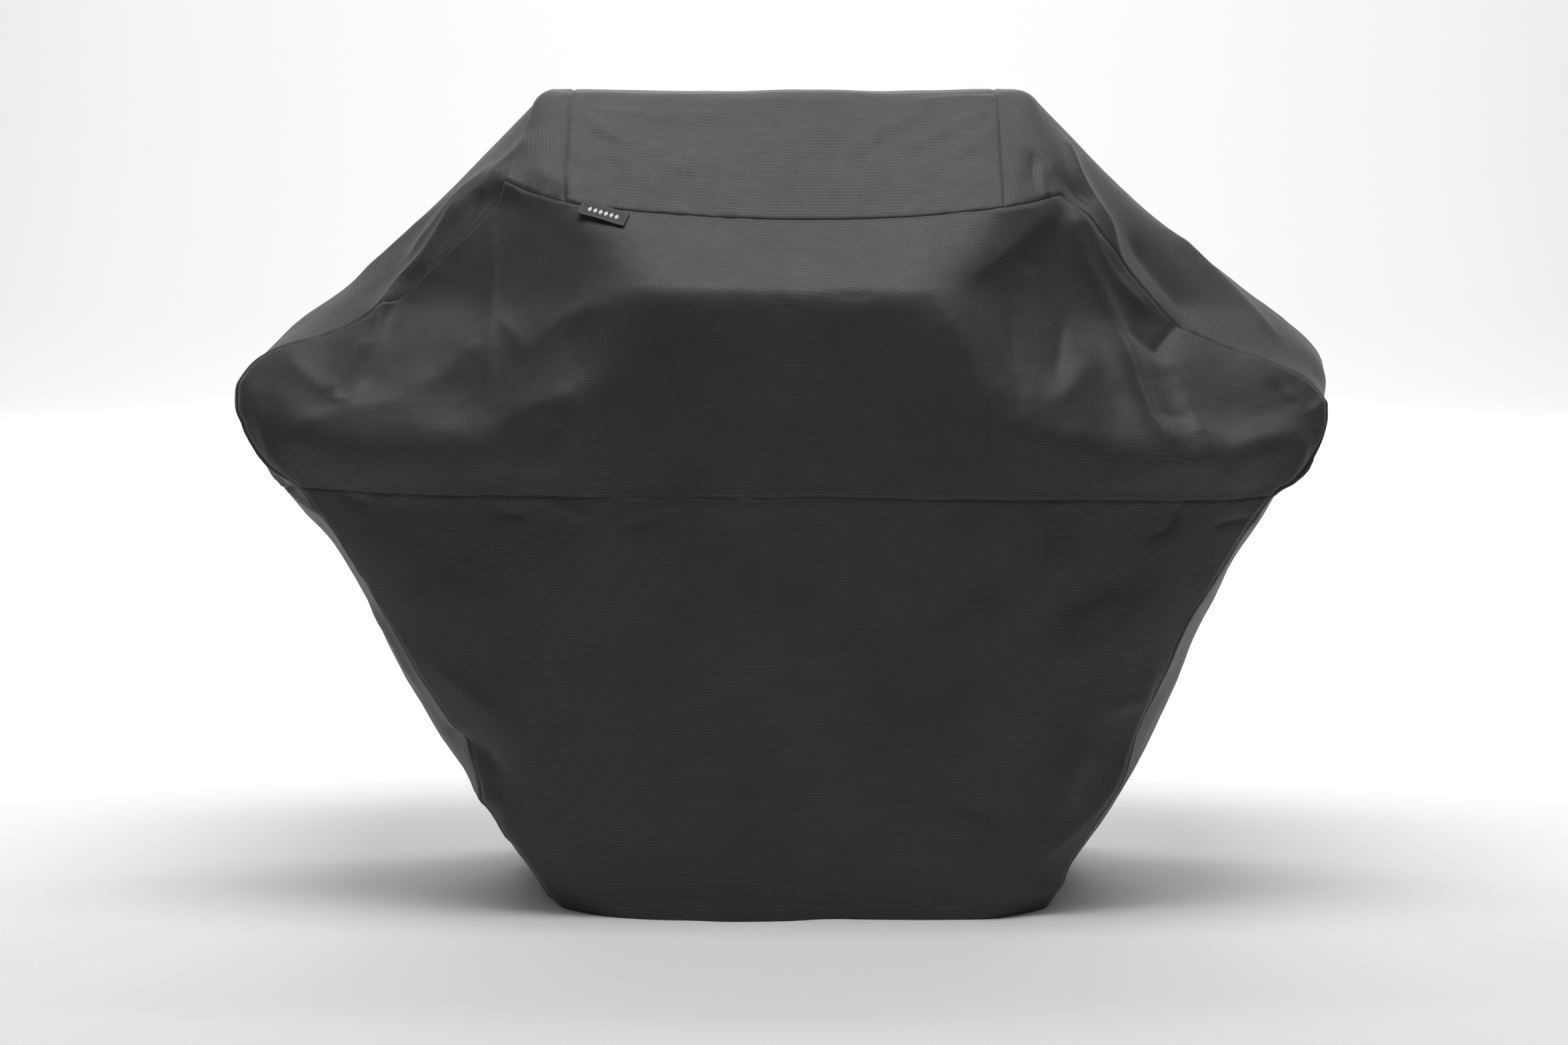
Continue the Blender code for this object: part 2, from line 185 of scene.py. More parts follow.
HEM_MARKS = (0.0115, 0.0155)     # row parameters just above the turned hem
nets = control_nets()
WAIST = round(parameter_of(nets["front"][:, 5], WAIST_HEIGHT, 2), 6)
SEAMS = [round(parameter_of(nets["front"][-1], x, 0), 6) for x in (-TOP_SEAM_X, TOP_SEAM_X)]
rows = samples([0, *HEM_MARKS, WAIST, 1], (3, 4, 92, 128), (0.0010, 0.0022, 0.0036))
columns = samples([0, *SEAMS, 1], (72, 168, 72), (0.0012, 0.0026, 0.0044))
across = samples([0, 1], (84,), (0.0020, 0.0045, 0.0075))
WAIST_ROW = int(np.searchsorted(rows, WAIST))
FIRST_SEAM, LAST_SEAM = (int(np.searchsorted(columns, value)) for value in SEAMS)
grids = {"front": (rows, columns), "rear": (rows, columns), "left": (rows, across),
         "right": (rows, across), "top": (columns, across)}


def patch_normals(shapes):
    """Outward unit normals of every grid point, shared by patches that meet at the point."""
    points = np.concatenate([grid.reshape(-1, 3) for grid in shapes.values()])
    shared = np.unique(np.round(points, 5), axis=0, return_inverse=True)[1].ravel()
    total = np.zeros((shared.max() + 1, 3))
    index, start = {}, 0
    for name, grid in shapes.items():
        count = grid.shape[0] * grid.shape[1]
        index[name] = shared[start:start + count].reshape(grid.shape[:2])
        start += count
        face = np.cross(grid[1:, 1:] - grid[:-1, :-1], grid[1:, :-1] - grid[:-1, 1:]) * FACING[name]
        here = index[name]
        for corner in (here[:-1, :-1], here[:-1, 1:], here[1:, :-1], here[1:, 1:]):
            for axis in range(3):
                total[:, axis] += np.bincount(corner.ravel(), face[..., axis].ravel(), len(total))
    total /= np.linalg.norm(total, axis=1, keepdims=True)
    return {name: total[where] for name, where in index.items()}


# -------------------- folds and relief

def arc(grid, axis):
    """Distance travelled along one direction of a grid, from its first line."""
    steps = np.linalg.norm(np.diff(grid, axis=axis), axis=-1)
    lead = np.zeros_like(np.take(steps, [0], axis))
    return np.concatenate([lead, np.cumsum(steps, axis)], axis)


def waves(points, length, count, seed, squash=(1, 1, 1)):
    """Sum of cosines of random direction and phase, whose wavelengths are the length divided by
    0.6 to 1.5, scaled to lie mostly within -1 to 1."""
    rng = np.random.default_rng(seed)
    vectors = rng.normal(size=(count, 3)) * squash
    vectors *= 2 * math.pi / length / np.linalg.norm(vectors, axis=1, keepdims=True)
    vectors *= rng.uniform(0.6, 1.5, (count, 1))
    phases = rng.uniform(0, 2 * math.pi, count)
    return np.cos(points @ vectors.T + phases).sum(-1) * math.sqrt(2 / count) / 1.5


CREST_ROUND = 0.4           # how round a fold's crest is, in widths
FOLD_REACH = 6              # widths from its line at which a fold ends
SURFACE_SHARE = 0.96        # share of the squared height over a line that its distance leaves out
FADE = (0.3, 0.3)           # how much of a fold fades in and out, where it doesn't say


def fold_height(points, normals, line, height, left, right, ends=FADE):
    """Height of one fold at each point: exp(-distance / width) with a rounded top, for a width on
    the left of the line and another on its right as seen from outside, faded to 0 at both ends.
    The distance is along the surface, so most of a point's height over the line is left out."""
    result = np.zeros(points.shape[:-1])
    reach = FOLD_REACH * max(left, right)
    near = np.all((points > line.min(0) - reach) & (points < line.max(0) + reach), -1)
    spots, out = points[near], normals[near]
    crest = np.zeros(len(spots))
    for number, (start, end) in enumerate(zip(line, line[1:])):
        step = end - start
        part = np.clip((spots - start) @ step / (step @ step), 0, 1)
        offset = spots - start - part[:, None] * step
        above = np.einsum("ij,ij->i", offset, out)
        gap = np.sqrt(np.maximum((offset ** 2).sum(1) - SURFACE_SHARE * above ** 2, 0))
        side = np.einsum("ij,ij->i", np.cross(step, offset), out)
        side /= np.linalg.norm(step) * gap + 1e-9
        width = (left + right) / 2 + np.clip(side, -1, 1) * (left - right) / 2
        along = (number + part) / (len(line) - 1)
        fade = smooth(along, -0.001, ends[0]) * (1 - smooth(along, 1 - ends[1], 1.001))
        rounded = np.exp(CREST_ROUND - np.sqrt((gap / width) ** 2 + CREST_ROUND ** 2))
        crest = np.maximum(crest, rounded * fade)
    result[near] = height * crest
    return result


# The folds of the cloth, in millimetres: a path, its height (a hollow is negative), its widths
# on the left and on the right of the path, and how much of it fades in and out, where that
# isn't FADE. Paths on the front and the sides give X and Z, and paths on the lid give X and Y.
# Each comment names the folds that follow it, in order.
FRONT_FOLDS = [
    # left shoulder: edge, crest, ridge and foot of its facet, wing crease
    ([(-440, 1020), (-465, 985), (-510, 930), (-545, 895), (-575, 850), (-585, 795)], 11, 9, 34,
     (.15, .25)),
    ([(-435, 1020), (-465, 985), (-505, 930), (-545, 895), (-575, 850), (-580, 795)], 8, 6, 12,
     (.1, .2)),
    ([(-580, 835), (-605, 790), (-635, 755)], 7.5, 10, 16, (.2, .15)),
    ([(-635, 750), (-615, 745), (-600, 750), (-575, 785)], 7.5, 14, 10, (.2, .3)),
    ([(-710, 815), (-675, 780), (-635, 755)], 5.8, 20, 20, (.3, .2)),
    # left face: long crease, diagonal fold and its right branch
    ([(-415, 1015), (-405, 930), (-410, 825), (-405, 720)], 3.248, 10, 14, (.2, .3)),
    ([(-405, 865), (-445, 805), (-500, 765), (-575, 750)], 10.15, 26, 26, (.25, .35)),
    ([(-405, 865), (-370, 840), (-345, 805)], 3.625, 16, 14, (.3, .4)),
    # left of the ledge: ridge, soft ridge, soft crease
    ([(-220, 895), (-285, 875), (-330, 845), (-350, 790)], 10.15, 22, 30, (.25, .4)),
    ([(-260, 795), (-300, 755), (-355, 745), (-395, 710)], 12.18, 26, 20, (.35, .3)),
    ([(-360, 735), (-320, 715), (-265, 705)], -4.35, 14, 16, (.3, .4)),
    # left shelf: edge, lower swag, front of the wing, the folds under and behind it
    ([(-720, 710), (-670, 710), (-610, 735), (-535, 745), (-475, 740)], 12.18, 22, 36, (.3, .4)),
    ([(-480, 735), (-435, 700), (-385, 670), (-330, 670), (-295, 710), (-255, 795), (-210, 875)],
     12.18, 20, 30),
    ([(-755, 780), (-725, 710), (-710, 660), (-675, 635)], 6, 8, 16, (.25, .4)),
    ([(-735, 660), (-705, 615), (-655, 585)], 7.5, 10, 14, (.3, .15)),
    ([(-450, 1040), (-530, 965), (-610, 895), (-650, 865)], 7.25, 20, 24, (.3, .4)),
    # the ledge and its two ripples
    ([(-225, 905), (-115, 905), (25, 905), (135, 905), (205, 900)], 6.525, 34, 60, (.12, .12)),
    ([(-15, 900), (5, 885), (10, 880)], -2.175, 8, 8),
    ([(65, 900), (100, 895), (125, 900)], -2.175, 8, 8),
    # right of the ledge: pocket edge, V edge, V crease, V foot, notch
    ([(380, 1015), (350, 985), (300, 950), (255, 920), (210, 900)], 13.5, 14, 70, (.12, .3)),
    ([(200, 900), (225, 850), (260, 780), (300, 730), (320, 710)], 15.66, 60, 24, (.2, .15)),
    ([(205, 900), (230, 845), (265, 775), (300, 725), (320, 710)], 6.75, 26, 9, (.12, .12)),
    ([(315, 705), (360, 710), (400, 695), (445, 720)], 7.25, 26, 20, (.25, .4)),
    ([(330, 945), (345, 935), (350, 930)], -2.538, 7, 7),
    # right shoulder: main ridge and crest, second ridge, end ridge, crest and valley, back ridge
    ([(390, 1020), (405, 965), (440, 890), (475, 825), (495, 760), (515, 700), (555, 670)], 15,
     30, 20, (.08, .1)),
    ([(395, 1015), (405, 965), (445, 890), (475, 825), (495, 755), (520, 700), (555, 670)], 7,
     16, 9, (.06, .1)),
    ([(400, 1020), (425, 975), (450, 925), (495, 880), (535, 850)], 8.7, 14, 12, (.12, .2)),
    ([(390, 1125), (400, 1065), (435, 1005), (460, 960), (485, 900)], 15, 22, 20, (.15, .3)),
    ([(390, 1115), (400, 1060), (430, 1005), (465, 960), (485, 900)], 6.75, 9, 10, (.15, .3)),
    ([(490, 970), (540, 910), (600, 845)], -15.66, 26, 26, (.25, .25)),
    ([(535, 980), (600, 920), (665, 860), (725, 800)], 11.6, 18, 26, (.2, .2)),
    # right kink: crease, pocket, ridge, hollow below
    ([(560, 850), (535, 830), (520, 805)], -6, 9, 7, (.15, .2)),
    ([(475, 840), (505, 825), (525, 810)], -8.7, 22, 12, (.3, .2)),
    ([(530, 805), (550, 790), (560, 755), (570, 715), (585, 680)], 11.74, 16, 26, (.15, .12)),
    ([(510, 730), (540, 720), (565, 720)], -2.9, 9, 9),
    # right shelf: tip and edge
    ([(515, 695), (550, 670), (580, 675), (590, 685), (605, 670)], 7.25, 16, 14, (.2, .3)),
    ([(600, 670), (645, 690), (695, 695), (735, 700)], 11.74, 22, 34, (.25, .25)),
    # right face: two upright creases and a broad band
    ([(310, 895), (310, 790), (325, 720)], -3.915, 12, 12, (.3, .2)),
    ([(395, 865), (385, 825), (370, 760)], -4.901, 12, 14),
    ([(435, 820), (395, 755), (355, 735)], 5.872, 20, 20),
    # right wing: three creases at the tip, lower edge and pleat
    ([(690, 775), (695, 745), (730, 735)], -3.625, 6, 6, (.3, .2)),
    ([(705, 760), (720, 745), (730, 735)], 2.9, 5, 5, (.3, .2)),
    ([(765, 740), (750, 730), (735, 725)], 3.625, 6, 6, (.2, .3)),
    ([(735, 705), (730, 665), (685, 620), (665, 590), (645, 535)], 6.75, 9, 14, (.2, .2)),
    ([(710, 650), (680, 615), (660, 575)], -4.5, 6, 6),
    # front: two bulges and a crease
    ([(-155, 765), (-90, 780), (-15, 770)], 4.901, 45, 45, (.4, .4)),
    ([(140, 670), (190, 710), (215, 720)], 3.915, 40, 40, (.4, .4)),
    ([(125, 675), (125, 635), (125, 565)], -3.132, 9, 9),
    # under the waist seam: lip, five puckers, three creases
    ([(-295, 610), (-185, 610), (20, 605), (300, 605)], 4.62, 10, 24, (.2, .5)),
    ([(-410, 600), (-380, 590), (-355, 595)], -4.2, 8, 8),
    ([(-325, 610), (-290, 600), (-275, 590)], 4.62, 8, 8),
    ([(-190, 605), (-225, 590), (-255, 570)], 4.62, 9, 9),
    ([(-165, 590), (-195, 585), (-220, 570)], -3.78, 9, 9),
    ([(-630, 625), (-610, 610), (-575, 605)], -4.2, 10, 10),
    ([(550, 610), (545, 575), (520, 560), (490, 560)], -3.75, 5, 6, (.15, .3)),
    ([(550, 605), (550, 590), (550, 580)], -2.5, 3, 3, (.2, .3)),
    ([(595, 575), (630, 580), (660, 585)], -3.75, 5, 5),
    # skirt: two shallow Vs and seven diagonal folds
    ([(125, 605), (125, 565), (120, 515)], -3.15, 14, 14, (.2, .4)),
    ([(-110, 575), (-85, 520), (-65, 510)], 4.2, 22, 22, (.4, .4)),
    ([(405, 565), (360, 490), (330, 420)], 15.12, 34, 34, (.35, .4)),
    ([(555, 515), (480, 440), (400, 380), (305, 365)], 15.12, 34, 34, (.3, .4)),
    ([(310, 515), (245, 450), (175, 410)], -11.34, 36, 36, (.35, .4)),
    ([(500, 490), (435, 465), (385, 440)], -13.23, 24, 24, (.35, .4)),
    ([(265, 315), (190, 300), (125, 265)], 11.34, 32, 32, (.35, .4)),
    ([(515, 320), (475, 320), (450, 300)], 6.75, 9, 9, (.3, .4)),
    ([(440, 270), (400, 205), (385, 135)], 11.34, 26, 26, (.35, .4)),
    # right fold of the skirt and its inner edge
    ([(530, 425), (530, 385), (510, 320), (500, 280), (475, 215), (455, 165), (435, 75)], 7, 9,
     22, (.3, .12)),
    ([(500, 285), (475, 215), (450, 170), (415, 135), (370, 100), (340, 60)], 10.5, 14, 16,
     (.2, .2)),
    # right corner of the hem: brow of the pocket, two curls, two creases
    ([(255, 30), (290, 45), (335, 50), (395, 40), (410, 45)], 10.5, 14, 30, (.25, .2)),
    ([(300, 75), (305, 65), (315, 60)], 3, 3.5, 3.5),
    ([(310, 85), (325, 75), (325, 60)], 2.625, 3.5, 4),
    ([(210, 170), (250, 165), (290, 150), (315, 130)], -7.5, 10, 10),
    ([(295, 240), (300, 200), (305, 165)], -4.41, 6, 6),
    # hem: three creases near the middle, three short ones, a swell
    ([(35, 80), (80, 75), (95, 80)], -3.15, 6, 6),
    ([(70, 45), (95, 30), (120, 30)], 3.75, 5, 5),
    ([(-15, 75), (20, 65), (60, 65)], -2.52, 6, 6),
    ([(-165, 85), (-140, 90), (-110, 90)], -3, 4, 4, (.15, .4)),
    ([(-160, 65), (-135, 65), (-115, 75)], -3, 4, 4, (.15, .4)),
    ([(-160, 50), (-140, 40), (-120, 30)], -3, 4, 4, (.2, .4)),
    ([(-225, 170), (-180, 140), (-160, 100)], 7.56, 18, 18, (.4, .3)),
    # left of the skirt: band, hollow, lower fold, edge pleat, ridge, diagonal, hem corner
    ([(-545, 420), (-480, 355), (-405, 310), (-355, 255), (-315, 205)], 10.5, 14, 40),
    ([(-515, 260), (-465, 260), (-410, 235), (-390, 195)], -13.5, 18, 26, (.25, .35)),
    ([(-455, 165), (-410, 185), (-385, 150), (-375, 90)], 12, 16, 26, (.2, .2)),
    ([(-425, 110), (-390, 105), (-375, 90)], -3.75, 5, 5, (.3, .2)),
    ([(-610, 475), (-550, 405), (-510, 295)], 9.45, 20, 24, (.35, .35)),
    ([(-500, 500), (-445, 470), (-390, 460)], 6.3, 30, 30, (.4, .4)),
    ([(-325, 5), (-315, 10), (-295, 10)], 3.75, 5, 5),
]
TOP_FOLDS = [
    # left corner of the lid: overhang, notch, side ridge
    ([(-340, -160), (-375, -140), (-405, -115), (-435, -95), (-460, -105)], 14, 6, 45,
     (.3, .15)),
    ([(-385, -130), (-400, -105), (-415, -90)], 6, 8, 12),
    ([(-395, -75), (-450, -80), (-510, -85), (-550, -95)], 8.7, 12, 16, (.25, .3)),
    # right corner: wedge and three puckers
    ([(400, -110), (415, -110), (425, -115)], -6.75, 9, 9, (.2, .3)),
    ([(355, -95), (350, -120), (350, -145)], -4.35, 8, 8),
    ([(370, -105), (360, -125), (360, -140), (380, -135)], 4.35, 7, 7),
    ([(350, -85), (375, -90), (385, -115)], 4.5, 9, 9),
    # ten wrinkles of the lid, and a pucker at its left seam
    ([(-285, -60), (-245, -80), (-205, -115)], 4.5, 8, 12, (.1, .4)),
    ([(-240, -55), (-210, -95), (-165, -120), (-100, -125), (-45, -100)], 6, 12, 20, (.25, .35)),
    ([(-285, -45), (-205, -55), (-75, -55), (5, -35)], 5.25, 10, 10, (.15, .4)),
    ([(-255, -100), (-220, -140), (-165, -160)], 3.48, 14, 14, (.3, .4)),
    ([(85, -115), (115, -95), (160, -60), (215, -45)], 6, 9, 12, (.2, .3)),
    ([(135, -115), (195, -95), (260, -60), (300, -40)], 6, 9, 14, (.25, .15)),
    ([(150, -35), (215, -25), (285, -20), (305, -25)], 4.5, 7, 8, (.3, .1)),
    ([(25, -80), (60, -70), (110, -80)], 3.75, 10, 10),
    ([(210, -125), (260, -105), (305, -70)], 3.75, 12, 12, (.35, .2)),
    ([(-160, -25), (-25, -30), (110, -25)], 3, 12, 12),
    ([(-280, -90), (-255, -95), (-230, -105)], -3, 6, 6, (.15, .4)),
    # left shoulder: two wrinkles, crown tuck, corner ridge
    ([(-355, -125), (-315, -150), (-260, -180)], 4.35, 9, 12, (.25, .4)),
    ([(-310, -145), (-275, -150), (-255, -155)], 2.9, 6, 6, (.2, .4)),
    ([(-300, -175), (-260, -180), (-220, -190)], 3.625, 8, 8),
    ([(-350, -80), (-375, -100), (-405, -95)], 7.5, 14, 18, (.3, .2)),
]

base = {name: surface(nets[name], *grids[name]) for name in grids}
base_normals = patch_normals(base)

LABEL_SIZE, LABEL_X, LABEL_TILT, LABEL_LIFT = (0.070, 0.025, 0.0008), -0.248, 12.0, 0.0025
CARE_SIZE, CARE_X, CARE_DROP = (0.035, 0.060, 0.0005), -0.20, 0.006
STRAP_WIDTH, STRAP_HEIGHT, STRAP_THICKNESS, TAPE_THICKNESS = 0.025, 0.085, 0.0015, 0.0012
STRAP_SPAN, TAPE_SPAN, STRAP_LIFT, TAPE_GAP = (0.56, 0.93), (0.57, 0.69), 0.0010, 0.0003


def frame_at(net, row, column, step=1e-4):
    """Point on a patch, and unit directions along its row, up the surface and out of it."""
    (below, _), (here, aside) = surface(net, [row - step, row], [column, column + step])
    along = (aside - here) / np.linalg.norm(aside - here)
    up = here - below
    up -= along * (up @ along)
    up /= np.linalg.norm(up)
    return here, along, up, np.cross(along, up)


strap_rows = {side: parameter_of(nets[side][:, 2], STRAP_HEIGHT, 2) for side in ("left", "right")}
label_column = parameter_of(nets["front"][-1], LABEL_X, 0)
label_top = frame_at(nets["front"], 1.0, label_column)[0]
# Places where the cloth lies flat: a centre and how far it reaches along each axis.
CALM_EDGE = (0.75, 1.6)
CALM_SPOTS = [(label_top - (0, 0, 0.012), (0.055, 0.05, 0.035))]
CALM_SPOTS += [(surface(nets[side], [strap_rows[side]], [place])[0, 0], (0.05, 0.05, 0.03))
               for side in ("left", "right") for place in np.linspace(*STRAP_SPAN, 9)]
LINE_POINTS, LINE_SPREAD = 25, 0.008


def laid(path, axes, facing, names=("front", "left", "right", "top")):
    """A smooth line on the named patches over a path in millimetres, given on two axes. The
    third coordinate of each of its points is a mean of the surface points near it that face the
    given way, weighted by exp(-(distance / spread)^2)."""
    control = np.array(path) / 1000
    line = basis(len(control), np.linspace(0, 1, LINE_POINTS)) @ control
    depth_axis = 3 - sum(axes)
    result = np.zeros((LINE_POINTS, 3))
    points = np.concatenate([base[name].reshape(-1, 3) for name in names])
    out = np.concatenate([base_normals[name].reshape(-1, 3) for name in names])
    points = points[out @ np.array(facing) > 0.02]
    for number, spot in enumerate(line):
        away = ((points[:, axes] - spot) ** 2).sum(1)
        weight = np.exp(-np.clip((away - away.min()) / LINE_SPREAD ** 2, 0, 50))
        result[number, axes] = spot
        result[number, depth_axis] = weight @ points[:, depth_axis] / weight.sum()
    return result


def placed(folds, *where):
    """The lines of some folds, each with its height and widths in metres and its fades."""
    return [(laid(path, *where), height / 1000, left / 1000, right / 1000, *ends)
            for path, height, left, right, *ends in folds]


# The rear repeats every second fold of the front that lies below this height in millimetres,
# mirrored.
REAR_FOLD_TOP = 900
REAR_FOLDS = [([(-x, z) for x, z in path], *shape) for path, *shape in FRONT_FOLDS[::2]
              if max(z for _, z in path) < REAR_FOLD_TOP]
FOLD_LINES = (placed(FRONT_FOLDS, [0, 2], (0, -1, 0)) + placed(TOP_FOLDS, [0, 1], (0, 0, 1))
              + placed(REAR_FOLDS, [0, 2], (0, 1, 0), ("rear", "left", "right")))


def calm(points):
    """0 beside a label or strap, where the cloth lies flat, rising to 1 further away."""
    factor = np.ones(points.shape[:-1])
    for centre, radius in CALM_SPOTS:
        factor *= smooth(np.linalg.norm((points - centre) / radius, axis=-1), *CALM_EDGE)
    return factor


# Slow drape and small crumples: the height of each, then what waves() takes. They are weaker
# by LID_STILLNESS from the heights in LID_RISE upwards, where the lid holds the cloth.
CRUMPLES = [(0.0045, 0.30, 14, 11, (1, 1, 0.8)), (0.0017, 0.125, 20, 12, (1, 1, 0.9)),
            (0.00022, 0.034, 24, 13)]
LID_STILLNESS, LID_RISE = 0.7, (0.70, 1.05)


def relief(name):
    """Height of the cloth over a patch: slow drape, small crumples and the placed folds."""
    points, out = base[name], base_normals[name]
    height = sum(size * waves(points, *wave) for size, *wave in CRUMPLES)
    height *= 1 - LID_STILLNESS * smooth(points[..., 2], *LID_RISE)
    for fold in FOLD_LINES:
        height += fold_height(points, out, *fold)
    return height * calm(points)


SEAM_DEPTH, SEAM_HALF = 0.0016, 0.0030
PUCKER_HEIGHT, PUCKER_REACH, PUCKER_LENGTH = 0.0009, 0.018, 0.022
HEM_STEP, HEM_EDGE = 0.0009, (0.020, 0.023)    # the folded hem stands proud up to its edge


def seam(distance, points):
    """A seam's groove, and the small puckers beside it that fade away from the stitching."""
    pucker = waves(points, PUCKER_LENGTH, 18, 21) * (0.5 + 0.5 * waves(points, 0.20, 8, 22))
    return (-SEAM_DEPTH * np.exp(-(distance / SEAM_HALF) ** 2)
            + PUCKER_HEIGHT * pucker * np.exp(-distance / PUCKER_REACH))


def seam_distances(name):
    """Distance of every grid point to each seam that its patch meets or holds."""
    along, over = arc(base[name], 0), arc(base[name], 1)
    from_ends = [over, over[:, -1:] - over]
    if name == "top":
        return from_ends + [np.abs(along - along[row]) for row in (FIRST_SEAM, LAST_SEAM)]
    found = from_ends + [np.abs(along - along[WAIST_ROW])]
    return found + [along[-1:] - along] if name in ("front", "rear") else found


def draped():
    """The finished outer surface of every patch: the base shape with relief, seams and the hem's
    step along its normals, and the bottom row at the floor."""
    shapes = {}
    for name, points in base.items():
        height = relief(name) + seam(np.min(seam_distances(name), axis=0), points)
        if name != "top":
            height += HEM_STEP * (1 - smooth(arc(points, 0), *HEM_EDGE))
        shape = points + base_normals[name] * height[..., None]
        if name != "top":
            shape[..., 2] = np.where(rows[:, None] == 0, 0, np.maximum(shape[..., 2], 0))
        shapes[name] = shape
    return shapes


# -------------------- meshes

CLOTH = 0.0008


def grid_faces(row_count, column_count, flip):
    """Quads of a grid, turned to face outwards."""
    index = np.arange(row_count * column_count).reshape(row_count, column_count)
    corners = [index[:-1, :-1], index[:-1, 1:], index[1:, 1:], index[1:, :-1]]
    quads = np.stack(corners, -1).reshape(-1, 4)
    return quads[:, ::-1] if flip else quads


def new_piece(name, points, faces, material, uv=None):
    """A smooth mesh object from an array of points and one of quads, with a UV per point."""
    mesh = bpy.data.meshes.new(name)
    mesh.vertices.add(len(points))
    mesh.vertices.foreach_set("co", np.asarray(points, np.float32).ravel())
    mesh.loops.add(faces.size)
    mesh.loops.foreach_set("vertex_index", np.asarray(faces, np.int32).ravel())
    mesh.polygons.add(len(faces))
    starts = np.arange(0, faces.size, faces.shape[1], dtype=np.int32)
    mesh.polygons.foreach_set("loop_start", starts)
    mesh.update(calc_edges=True)
    if uv is not None:
        layer = mesh.uv_layers.new(name="cloth")
        layer.data.foreach_set("uv", np.asarray(uv, np.float32)[faces.ravel()].ravel())
    mesh.shade_smooth()
    mesh.materials.append(material)
    piece = bpy.data.objects.new(name, mesh)
    bpy.context.collection.objects.link(piece)
    return piece


def give_wall(piece, thickness, inner_material=None):
    """A wall under the outer face, lined with another material where one is given."""
    wall = piece.modifiers.new("wall", "SOLIDIFY")
    wall.thickness = thickness
    wall.offset = -1
    if inner_material is not None:
        piece.data.materials.append(inner_material)
        wall.material_offset = 1


def cloth_uv(name):
    """Metric coordinates for the weave: straight across in X or Y, and along the cloth's fall."""
    fall = arc(base[name], 0) if name != "top" else arc(base[name], 1)
    level = base[name][..., 0] if name in ("front", "rear", "top") else base[name][..., 1]
    return np.stack([level, fall], -1)


def panel(name, patch, shape, uv, materials):
    """One sewn panel from a block of a patch, hung as a sheet in place of its frame node."""
    faces = grid_faces(*shape.shape[:2], FACING[patch] < 0)
    piece = new_piece(name + "_cloth", shape.reshape(-1, 3), faces, materials[0], uv.reshape(-1, 2))
    give_wall(piece, CLOTH, materials[1])
    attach(piece, "cover")
    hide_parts(name)
    cut = np.array([arc(shape, 1)[:, -1].max(), arc(shape, 0)[-1].max()])


def build_panels(shapes, materials):
    """Cut the five patches into the nine panels."""
    skirt, upper = np.s_[:WAIST_ROW + 1], np.s_[WAIST_ROW:]
    blocks = {side + part: (side, block) for side in ("front", "rear")
              for part, block in (("_skirt", skirt), ("_upper_panel", upper))}
    blocks.update({side + "_side_skirt": (side, skirt) for side in ("left", "right")})
    blocks["top_panel"] = ("top", np.s_[FIRST_SEAM:LAST_SEAM + 1])
    for name, (patch, block) in blocks.items():
        panel(name, patch, shapes[patch][block], cloth_uv(patch)[block], materials)
    for side, lid_end in (("left", np.s_[:FIRST_SEAM + 1]), ("right", np.s_[:LAST_SEAM - 1:-1])):
        shape = np.concatenate([shapes[side][upper], shapes["top"][lid_end][1:]])
        uv = np.stack([shape[..., 1], arc(shape, 0)], -1)
        panel(side + "_shoulder_panel", side, shape, uv, materials)


# -------------------- labels and straps

LABEL_GRID = (25, 41)


def hanging_label(name, node, size, hinge, along, up, curl, material):
    """A label from its top edge: a grid of length by width, bowed forwards by
    curl * drop^2 * (1 + 0.4 cos(3 u)) plus 0.3 mm * sin(9 u + 2) * drop, for a drop that runs
    from 0 at the hinge to 1 and a u that runs from -0.5 to 0.5 across."""
    width, length, thickness = size
    u, drop = np.meshgrid(np.linspace(-0.5, 0.5, LABEL_GRID[1]), np.linspace(1, 0, LABEL_GRID[0]))
    bow = curl * drop ** 2 * (1 + 0.4 * np.cos(3 * u)) + 0.0003 * np.sin(9 * u + 2) * drop
    out = np.cross(along, up)
    points = (hinge + u[..., None] * width * along - drop[..., None] * length * up
              + (thickness + bow)[..., None] * out)
    uv = np.stack([(u + 0.5) * width, (1 - drop) * length], -1).reshape(-1, 2)
    piece = new_piece(name, points.reshape(-1, 3), grid_faces(*LABEL_GRID, False), material, uv)
    give_wall(piece, thickness)
    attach(piece, node)
    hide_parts(node)


def build_labels(woven, satin):
    """The woven label on the front crown seam and the care label inside the back one."""
    seam_point, along, up, outward = frame_at(nets["front"], 1.0, label_column)
    turn = math.radians(LABEL_TILT)
    label_along = along * math.cos(turn) - up * math.sin(turn)
    label_up = up * math.cos(turn) + along * math.sin(turn)
    hanging_label("seam_label", "woven_label", LABEL_SIZE, seam_point + outward * LABEL_LIFT,
                  label_along, label_up, 0.0012, woven)
    care_column = parameter_of(nets["rear"][-1], CARE_X, 0)
    seam_point = frame_at(nets["rear"], 1.0, care_column)[0]
    hanging_label("care_tag", "care_label", CARE_SIZE, seam_point - (0, CARE_DROP, CARE_DROP),
                  np.array([1.0, 0, 0]), np.array([0, 0, 1.0]), 0.0015, satin)


STRIP_ROWS, TAPE_STEPS, WEBBING_STEPS = 13, 40, 90
TAPE_EDGE, WEBBING_EDGE = 0.0002, 0.0003
TAPE_END = 0.75       # the strap comes down to the skirt from here on


